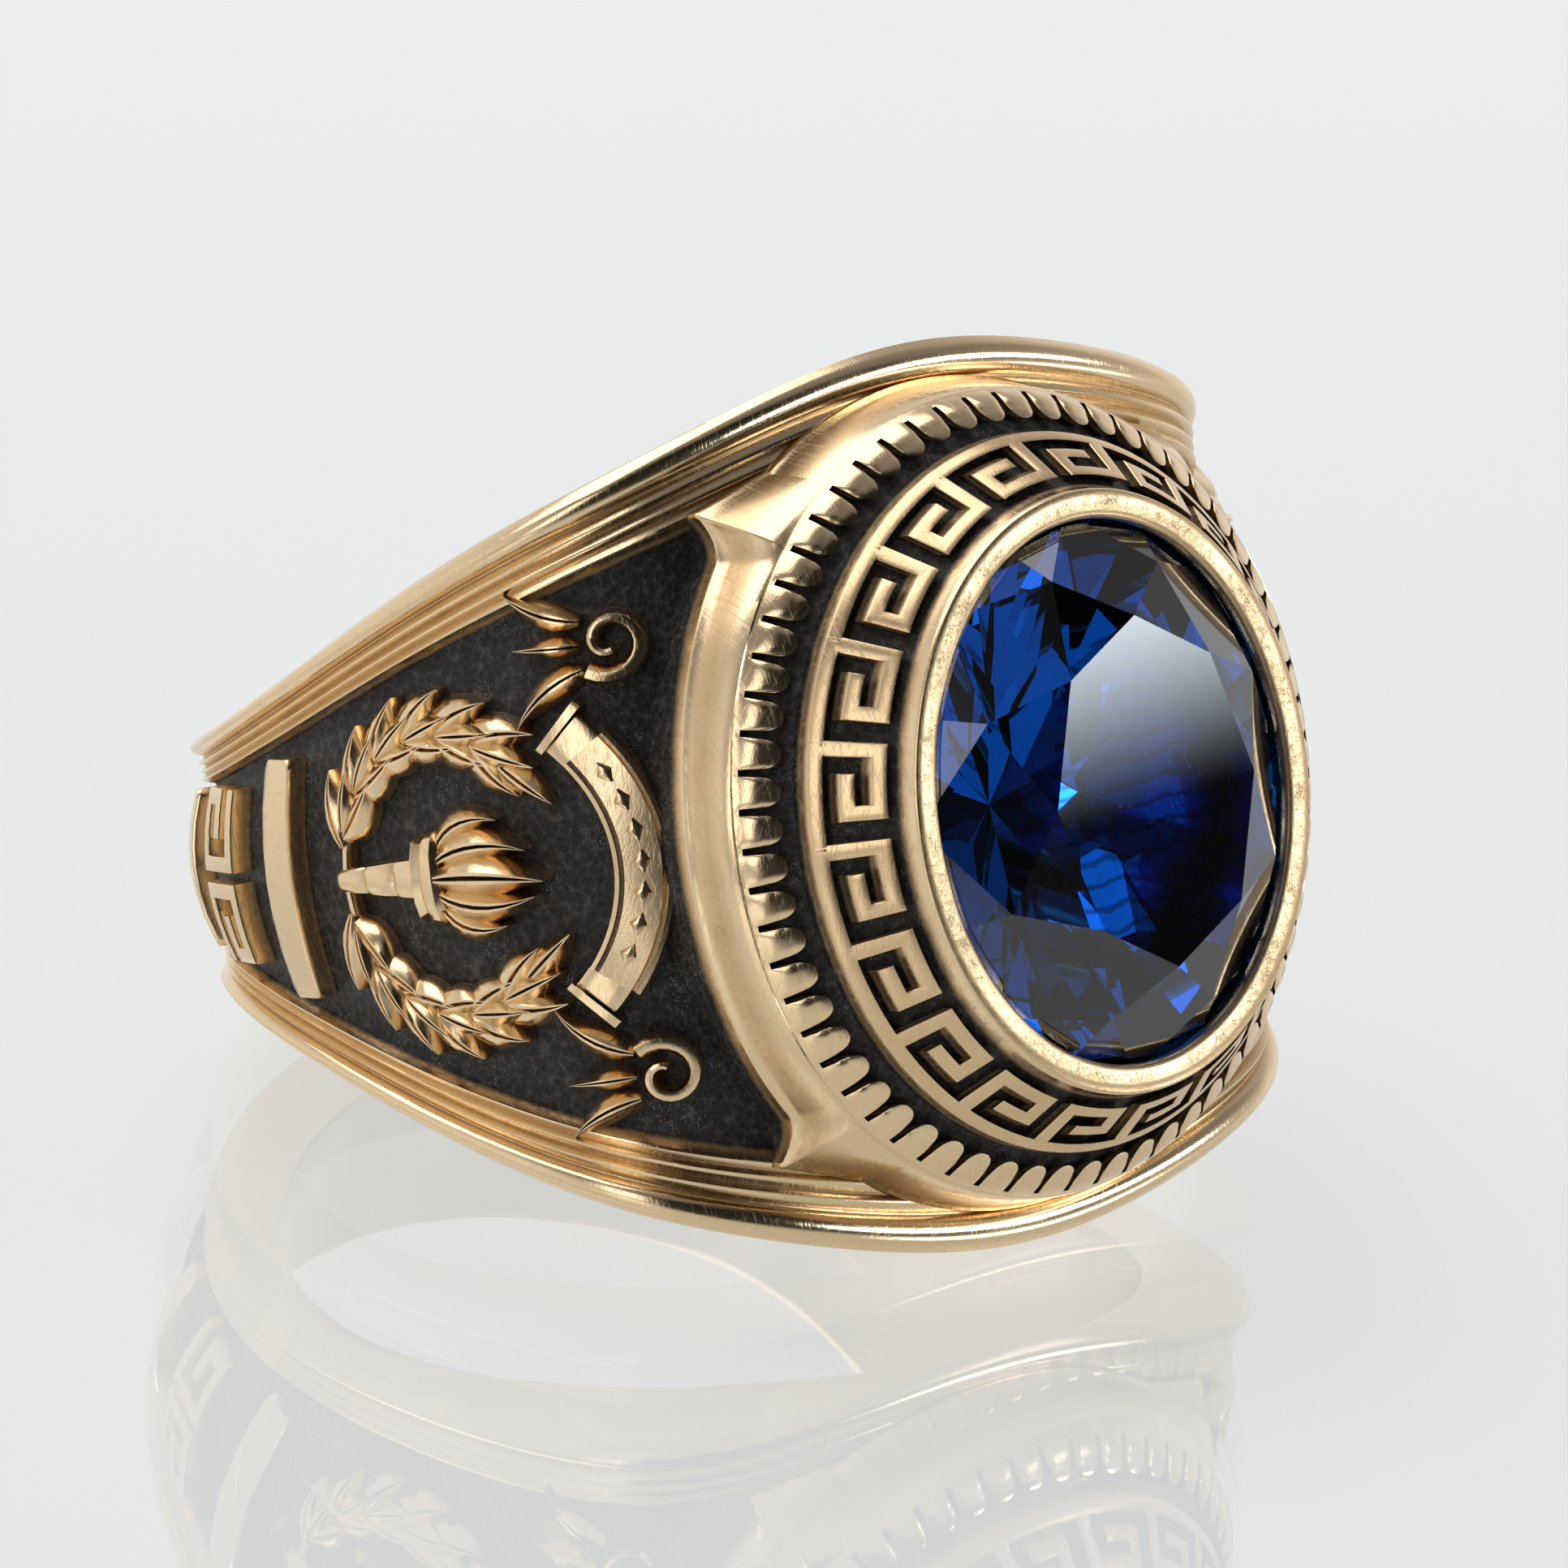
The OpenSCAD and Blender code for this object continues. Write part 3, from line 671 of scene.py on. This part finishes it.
def shaped_strip(bm, stops, profile):
    """A raised strip along a path of stops, each of them (u, v, half width, height)."""
    stops = [(*stops[0][:3], None), *stops, (*stops[-1][:3], None)]
    last = len(stops) - 1

    def place(column, row):
        u, v, half, height = stops[row]
        before, after = stops[max(0, row - 1)], stops[min(last, row + 1)]
        if row <= 1:
            before, after = stops[1], stops[2]
        if row >= last - 1:
            before, after = stops[last - 2], stops[last - 1]
        along = Vector((after[0] - before[0], after[1] - before[1]))
        along = along.normalized() if along.length > 1e-6 else Vector((1, 0))
        across, share, darkening = profile[column]
        level = -ROOT if height is None or share is None else height * share
        return Vector((u - along.y * across * half, v + along.x * across * half, level)), darkening

    placed_grid(bm, len(profile) - 1, last, place)


def leaf(bm, u, v, heading, length, half, height, curl=0.0):
    """A pointed leaf with a vein, from its foot in a direction on the field."""
    stops = []
    for i in range(8):
        share = i / 7
        width = math.sin(math.pi * min(1, share * 0.92 + 0.08)) ** 0.75 * (1.1 - 0.5 * share)
        turn = math.radians(heading + curl * share)
        stops.append((
            u + math.cos(turn) * length * share,
            v + math.sin(turn) * length * share,
            half * max(0.04, width),
            height * (0.62 + 0.45 * math.sin(math.pi * (0.15 + 0.6 * share))),
        ))
    shaped_strip(bm, stops, veined)


def branch(side, t):
    """Place and heading on one of a wreath's two branches, at an angle from its foot."""
    along, across = WREATH_HALF
    sine = math.sin(math.radians(t))
    cosine = math.cos(math.radians(t))
    heading = side * math.degrees(math.atan2(across * cosine, along * sine))
    return -along * cosine, side * across * sine, heading


def wreaths():
    bm = bmesh.new()
    for side in (-1, 1):
        stem = [(*branch(side, t)[:2], 0.12, RELIEF * 0.7) for t in range(4, LAST_LEAF, 8)]
        shaped_strip(bm, stem, rounded)
        for i in range(LEAF_SETS):
            t = FIRST_LEAF + (LAST_LEAF - FIRST_LEAF) * i / LEAF_SETS
            heading = branch(side, t)[2]
            for ahead, turn, length, half, high, curl in leaf_set:
                u, v, _ = branch(side, t + ahead)
                turned = heading + side * turn
                leaf(bm, u, v, turned, LEAF_LEN * length, half, RELIEF * high, side * curl)
        u, v, heading = branch(side, LAST_LEAF)
        leaf(bm, u, v, heading, LEAF_LEN, 0.40, RELIEF * 1.1)
    shoulder_relief(bm, "wreaths")


wreaths()

# The torches
# A lit torch lies in each wreath, its cup and flames towards the stone. It is cast in relief, with
# the flames' ribs and the rings of the handle cut back by the engraver.
TORCH_LEN = 3.0
HANDLE_STEP = 0.22
# The cup: place along the ring, half width and share of the relief's height
cup = [
    (-0.62, 0.76, 1.1), (-0.52, 0.94, 1.38), (-0.34, 0.84, 1.25), (-0.18, 1.0, 1.5), (0.02, 1.04, 1.5),
    (0.14, 0.9, 1.2),
]
# The flames: place across, heading, length, half width, share of the height and curl
flames = [
    (0.0, 4, 2.5, 0.60, 1.8, -8), (0.34, 30, 2.15, 0.48, 1.45, -26), (-0.34, -28, 2.25, 0.48, 1.5, 24),
    (0.6, 60, 1.65, 0.42, 1.15, -40), (-0.6, -58, 1.6, 0.42, 1.15, 40),
]


def torches():
    bm = bmesh.new()
    handle = []
    for i in range(12):
        high = 1.0 if i % 4 else 0.76
        handle.append((-TORCH_LEN + i * HANDLE_STEP, 0, 0.24 + 0.022 * i, RELIEF * high))
    shaped_strip(bm, handle, rounded)
    shaped_strip(bm, [(u, 0, half, RELIEF * high) for u, half, high in cup], rounded)
    for v, heading, length, half, high, curl in flames:
        leaf(bm, 0.05, v, heading, length, half, RELIEF * high, curl)
    shoulder_relief(bm, "torches")


torches()

# The banners
# A plain arched banner closes each emblem towards the stone, with a sunk border line, small raised
# lozenges and ends that fold under. It is cast with the ring and polished on its face.
BANNER_U = 0.4
BANNER_R = 4.05
BANNER_LEAN = 0.16
LOZENGES = 7
LOZENGE_STEP = 9.6
LOZENGE_HALF = 0.25
# Sections as before: the face with its sunk line, and a plain flat top for the ends
sunk_line = [
    (-1, None, 0), (-1, 0.8, 0), (-0.95, 0.96, 0), (-0.8, 1.0, 0), (-0.76, 0.84, 0.7), (-0.66, 0.84, 0.7),
    (-0.62, 1.0, 0), (0, 1.0, 0), (0.62, 1.0, 0), (0.66, 0.84, 0.7), (0.76, 0.84, 0.7), (0.8, 1.0, 0),
    (0.95, 0.96, 0), (1, 0.8, 0), (1, None, 0),
]
flat_topped = [
    (-1, None, 0), (-1, 0.8, 0), (-0.96, 0.94, 0), (-0.88, 1.0, 0), (-0.4, 1.0, 0), (0, 1.0, 0),
    (0.4, 1.0, 0), (0.88, 1.0, 0), (0.96, 0.94, 0), (1, 0.8, 0), (1, None, 0),
]


def arch(t, radius):
    return BANNER_U + radius * math.cos(math.radians(t)), radius * math.sin(math.radians(t))


def banners():
    bm = bmesh.new()
    # The face slopes down towards the wreath
    face = [
        (across, share and share * (1 - BANNER_LEAN * across), shade)
        for across, share, shade in sunk_line
    ]
    shaped_strip(bm, [(*arch(t, BANNER_R), 0.6, RELIEF * 1.12) for t in range(-38, 39, 4)], face)
    for side in (-1, 1):
        fold = [(*arch(side * t, 3.93), 0.5, RELIEF * 0.72) for t in (37, 40, 43, 46)]
        shaped_strip(bm, fold, flat_topped)
        tip = [(*arch(side * t, 4.0), 0.66, RELIEF) for t in (46.5, 47.5, 49)]
        shaped_strip(bm, tip, flat_topped)
    for i in range(LOZENGES):
        t = (i - LOZENGES // 2) * LOZENGE_STEP
        u, v = arch(t, BANNER_R)
        turn = math.radians(t + 90)
        lozenge = []
        for share, half in ((-1, 0.02), (-0.5, 0.12), (0, 0.22), (0.5, 0.12), (1, 0.02)):
            reach = LOZENGE_HALF * share
            place = (u + math.cos(turn) * reach, v + math.sin(turn) * reach)
            lozenge.append((*place, half, RELIEF * 1.36))
        shaped_strip(bm, lozenge, rounded)
    shoulder_relief(bm, "banners", RELIEF * 1.05)


banners()

# The scrolls
# A leafed scroll fills each corner of the field by the collar. It is a rounded wire form cast with
# the ring, curled in on itself, with three leaves from its foot.
SCROLL_R = 0.78
SCROLL_U = 4.3
SCROLL_V = 4.65
SCROLL_START = -130
SCROLL_END = 300


def scrolls():
    bm = bmesh.new()
    for side in (-1, 1):
        curl = []
        for t in range(SCROLL_START, SCROLL_END, 18):
            radius = SCROLL_R * (1 - 0.0018 * (t - SCROLL_START))
            u = SCROLL_U + radius * math.cos(math.radians(t))
            v = SCROLL_V + radius * math.sin(math.radians(t))
            curl.append((u, side * v, 0.22 - 0.00024 * (t - SCROLL_START), RELIEF * 1.2))
        shaped_strip(bm, curl, rounded)
        foot = SCROLL_U - 0.75 * SCROLL_R
        leaf(bm, foot, side * (SCROLL_V - 0.55), side * -165, 1.8, 0.38, RELIEF * 1.15, side * 22)
        leaf(bm, foot, side * (SCROLL_V + 0.45), side * 172, 1.75, 0.36, RELIEF * 1.15, side * -16)
        leaf(bm, foot, side * (SCROLL_V - 0.05), side * 178, 1.4, 0.27, RELIEF * 1.4)
    shoulder_relief(bm, "scrolls")


scrolls()

# The bars on the shank
# Behind each emblem a broad polished bar crosses the field, and farther back a slim one closes it.
# They are cast flat-topped and stand about level with the rails.
# Each bar: angle round the ring, half length and half width
bars = [(91, 2.6, 0.55), (120, field_half(120) - 0.15, 0.35)]
# Rounded ends of a bar: share of its length and share of its width
bar_ends = {1: 0.78, 0.97: 0.93}


def shank_bars():
    bm = bmesh.new()
    for angle, half, width in bars:
        u = math.radians(EMBLEM_ANGLE - angle) * SHOULDER_RADIUS
        stops = []
        for share in (-1, -0.97, -0.9, -0.6, -0.3, 0, 0.3, 0.6, 0.9, 0.97, 1):
            stops.append((u, share * half, width * bar_ends.get(abs(share), 1.0), RELIEF))
        shaped_strip(bm, stops, flat_topped)
    shoulder_relief(bm, "shank_bars")


shank_bars()

# The frets on the shank
# Two mirrored hooks stand between the bars, back to back. They are cut like those on the head, but
# without the foot, and cast with the ring.
SHANK_STROKE = 0.36
HOOK_GAP = 0.12
HOOK_ANGLE = 106
HOOK_SIZE = 5


def shank_frets():
    bm = bmesh.new()
    middle = math.radians(EMBLEM_ANGLE - HOOK_ANGLE) * SHOULDER_RADIUS
    for side in (-1, 1):
        shape = bmesh.new()
        outline = [(min(x, HOOK_SIZE) * SHANK_STROKE, y * SHANK_STROKE) for x, y in fret_outline]
        raised_outline(shape, outline, ROOT + RELIEF, 0.05)
        slice_up(shape, 0, [SHANK_STROKE * (i + 0.5) for i in range(HOOK_SIZE)])
        slice_up(shape, 1, [SHANK_STROKE * (i + 0.5) for i in range(HOOK_SIZE)])
        for vert in shape.verts:
            p, q, h = vert.co
            u = middle + side * (HOOK_SIZE / 2 * SHANK_STROKE - q)
            vert.co = (u, side * (HOOK_GAP + p), h - ROOT)
        mesh = bpy.data.meshes.new("fret_form")
        shape.to_mesh(mesh)
        shape.free()
        bm.from_mesh(mesh)
        bpy.data.meshes.remove(mesh)
    shoulder_relief(bm, "shank_frets")


shank_frets()

# The stone
# A synthetic blue sapphire, oval cut with a table, star, bezel and girdle facets. It is set from
# above and held by the bezel's lip. The solid from the frame is shown as it is.


def stone_material():
    material = bpy.data.materials.new("blue_stone")
    material.use_nodes = True
    tree = material.node_tree
    shader = tree.nodes["Principled BSDF"]
    shader.inputs["Transmission Weight"].default_value = 1.0
    shader.inputs["IOR"].default_value = 1.77
    place = add_node(tree, "ShaderNodeTexCoord").outputs["Object"]
    clouds = add_node(
        tree, "ShaderNodeTexNoise", {"Vector": place, "Scale": 320.0, "Detail": 3.0}
    ).outputs["Fac"]
    tint = mix_colours(tree, clouds, (0.0005, 0.045, 0.30, 1), (0.0014, 0.105, 0.62, 1))
    # Curved growth lines, as a stone grown in a flame has; they show through the table only
    growth = add_node(
        tree, "ShaderNodeTexWave",
        {"Vector": place, "Scale": 680.0, "Distortion": 5.0, "Detail": 3.0, "Detail Scale": 1.2},
        wave_type="BANDS", bands_direction="Z",
    ).outputs["Fac"]
    threads = ramp(tree, growth, [(0.0, 0.16), (0.30, 1.0)])
    table_normal = lying.to_3x3().normalized() @ Vector((1, 0, 0))
    level = add_node(
        tree, "ShaderNodeVectorMath", {0: place, 1: table_normal}, operation="DOT_PRODUCT"
    ).outputs["Value"]
    table_level = (lying @ Vector((TABLE_X - 0.1, 0, 0))).dot(table_normal)
    on_table = math_node(tree, "GREATER_THAN", level, table_level)
    tint = mix_colours(tree, on_table, tint, mix_colours(tree, 1.0, tint, threads, "MULTIPLY"))
    tree.links.new(tint, shader.inputs["Base Color"])
    # Fine wear dulls the polish in specks
    grain = add_node(
        tree, "ShaderNodeTexNoise", {"Vector": place, "Scale": 12000.0, "Detail": 4.0}
    ).outputs["Fac"]
    rough = ramp(tree, grain, [(0.55, 0.0), (0.9, 0.12)])
    tree.links.new(rough, shader.inputs["Roughness"])
    return material


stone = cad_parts["stone"]
stone.data.materials.clear()
stone.data.materials.append(stone_material())

# The floor it lies on
# A thin sheet of clear acrylic over a glossy white backing with a painted glow, which lightens the
# ring's shadow and lights the ring from below. Most of the faint reflection comes from the backing,
# so that it lies a little under the ring.
# Thickness of the sheet, and the hair's breadth that its top lies under the ring
SHEET = 0.0012
CLEARANCE = 0.00002


def backing_material():
    material = bpy.data.materials.new("white_backing")
    material.use_nodes = True
    tree = material.node_tree
    shader = tree.nodes["Principled BSDF"]
    place = add_node(tree, "ShaderNodeTexCoord").outputs["Object"]
    clouds = add_node(
        tree, "ShaderNodeTexNoise", {"Vector": place, "Scale": 6.0, "Detail": 2.0}
    ).outputs["Fac"]
    tint = mix_colours(tree, clouds, (0.21, 0.214, 0.212, 1), (0.24, 0.244, 0.242, 1))
    # Painted glow: the backing gives off light of its own, which lightens the ring's shadow and lights the
    # ring from below
    painted_glow = mix_colours(tree, clouds, (0.495, 0.505, 0.50, 1), (0.515, 0.525, 0.52, 1))
    # The painted glow is weaker towards the near edge: painted shade that darkens the floor where the gold
    # mirrors it
    near = add_node(
        tree, "ShaderNodeVectorMath", {0: place, 1: (-0.66, -0.75, 0)}, operation="DOT_PRODUCT"
    ).outputs["Value"]
    painted_glow = mix_colours(tree, 1.0, painted_glow, ramp(tree, near, [(0.034, 1.0), (0.11, 0.25)]), "MULTIPLY")
    tree.links.new(tint, shader.inputs["Base Color"])
    tree.links.new(painted_glow, shader.inputs["Emission Color"])
    shader.inputs["Emission Strength"].default_value = 1.0
    smears = add_node(
        tree, "ShaderNodeTexNoise", {"Vector": place, "Scale": 40.0, "Detail": 3.0}
    ).outputs["Fac"]
    rough = ramp(tree, smears, [(0.3, 0.0), (0.8, 0.035)])
    tree.links.new(rough, shader.inputs["Roughness"])
    shader.inputs["IOR"].default_value = 1.68
    return material


def sheet_material():
    """Clear acrylic: everything passes through it but its own faint reflection."""
    material = bpy.data.materials.new("clear_sheet")
    material.use_nodes = True
    tree = material.node_tree
    tree.nodes.remove(tree.nodes["Principled BSDF"])
    clear = add_node(tree, "ShaderNodeBsdfTransparent")
    place = add_node(tree, "ShaderNodeTexCoord").outputs["Object"]
    smears = add_node(
        tree, "ShaderNodeTexNoise", {"Vector": place, "Scale": 55.0, "Detail": 3.0}
    ).outputs["Fac"]
    rough = ramp(tree, smears, [(0.3, 0.02), (0.8, 0.05)])
    gloss = add_node(tree, "ShaderNodeBsdfGlossy", {"Roughness": rough})
    # It mirrors from above only, so that the backing's reflection comes out unhindered
    below = add_node(tree, "ShaderNodeNewGeometry").outputs["Backfacing"]
    mirrored = add_node(tree, "ShaderNodeFresnel", {"IOR": 1.16}).outputs[0]
    share = math_node(tree, "MULTIPLY", mirrored, math_node(tree, "SUBTRACT", 1.0, below))
    surface = add_node(tree, "ShaderNodeMixShader", {0: share})
    tree.links.new(clear.outputs[0], surface.inputs[1])
    tree.links.new(gloss.outputs[0], surface.inputs[2])
    tree.links.new(surface.outputs[0], tree.nodes["Material Output"].inputs["Surface"])
    return material


def floor_sheet(name, height, material):
    mesh = bpy.data.meshes.new(name)
    bm = bmesh.new()
    bmesh.ops.create_grid(bm, x_segments=1, y_segments=1, size=3)
    bmesh.ops.translate(bm, verts=bm.verts, vec=(0, 0, height))
    bm.to_mesh(mesh)
    bm.free()
    sheet = bpy.data.objects.new(name, mesh)
    bpy.context.scene.collection.objects.link(sheet)
    mesh.materials.append(material)


floor_sheet("backing", -SHEET, backing_material())
floor_sheet("sheet", -CLEARANCE, sheet_material())

# Soft studio light
# A large diffused panel overhead and two smaller ones, at the left and low at the front right.


def panel(name, place, target, size, power, colour=(1, 1, 1)):
    light = bpy.data.lights.new(name, "AREA")
    light.shape = "RECTANGLE"
    light.size, light.size_y = size
    light.energy = power
    light.color = colour
    lamp = bpy.data.objects.new(name, light)
    lamp.location = place
    lamp.rotation_mode = "QUATERNION"
    lamp.rotation_quaternion = (Vector(target) - Vector(place)).to_track_quat("-Z", "Y")
    bpy.context.scene.collection.objects.link(lamp)
    return lamp


def soften_edge(lamp, fade):
    """Fades a panel in from its lower edge, as a diffuser does where the lamp behind it ends."""
    light = lamp.data
    light.use_nodes = True
    tree = light.node_tree
    parametric = add_node(tree, "ShaderNodeNewGeometry").outputs["Parametric"]
    upward = add_node(tree, "ShaderNodeSeparateXYZ", {0: parametric}).outputs["Y"]
    strength = ramp(tree, upward, [(0.0, 0.0), (fade, 1.0)])
    tree.links.new(strength, tree.nodes["Emission"].inputs["Strength"])


middle = (0, 0, 0.009)
panel("overhead", (-0.05, 0.16, 0.33), middle, (0.44, 0.34), 0.95)
panel("left", (-0.30, -0.14, 0.15), middle, (0.12, 0.26), 0.14)
front_right = panel("front_right", (0.165, -0.21, 0.082), middle, (0.12, 0.06), 0.31, (0.80, 0.90, 1.0))
soften_edge(front_right, 0.22)

# The room is pale behind and above the ring and dim towards the camera
room = bpy.data.worlds.new("pale_room")
bpy.context.scene.world = room
room.use_nodes = True
sky = room.node_tree
background = sky.nodes["Background"]
direction = add_node(sky, "ShaderNodeTexCoord").outputs["Generated"]
upward = add_node(sky, "ShaderNodeSeparateXYZ", {0: direction}).outputs["Z"]
forward = add_node(
    sky, "ShaderNodeVectorMath", {0: direction, 1: (-0.04, -0.94, 0.336)}, operation="DOT_PRODUCT"
).outputs["Value"]
height_colour = ramp(
    sky, upward,
    [
        (0.0, (0.92, 0.92, 0.92)), (0.12, (0.90, 0.90, 0.905)),
        (0.35, (0.80, 0.80, 0.805)), (0.7, (0.42, 0.42, 0.43)),
    ],
)
dim = ramp(sky, forward, [(0.0, 1.0), (0.2, 0.66), (0.6, 0.50), (0.73, 0.03)], smooth=False)
sky_colour = mix_colours(sky, 1.0, height_colour, dim, "MULTIPLY")
sky.links.new(sky_colour, background.inputs["Color"])
background.inputs["Strength"].default_value = 1.0
bpy.context.scene.view_settings.view_transform = "Standard"

# The camera
# A long lens looks at the head and one shoulder from the photograph's side.
towards = Vector((0.783, -0.615, 0.0934))
image_right = Vector((0.6219, 0.7723, -0.1296))
image_up = towards.cross(image_right)
aimed_at = Vector((7, 0, 0))
distance = 242.66
shift_left = 2.49
shift_up = 0.22
centre = aimed_at + distance * towards - shift_left * image_right + shift_up * image_up
turn = lying.to_3x3().normalized()
camera = bpy.data.objects.new("camera", bpy.data.cameras.new("camera"))
axes = Matrix([turn @ image_right, turn @ image_up, turn @ towards]).transposed()
camera.matrix_world = Matrix.Translation(lying @ centre) @ axes.to_4x4()
camera.data.lens = 257.1
camera.data.sensor_width = 36
camera.data.clip_start = 0.01
camera.data.clip_end = 20
bpy.context.scene.collection.objects.link(camera)
bpy.context.scene.camera = camera
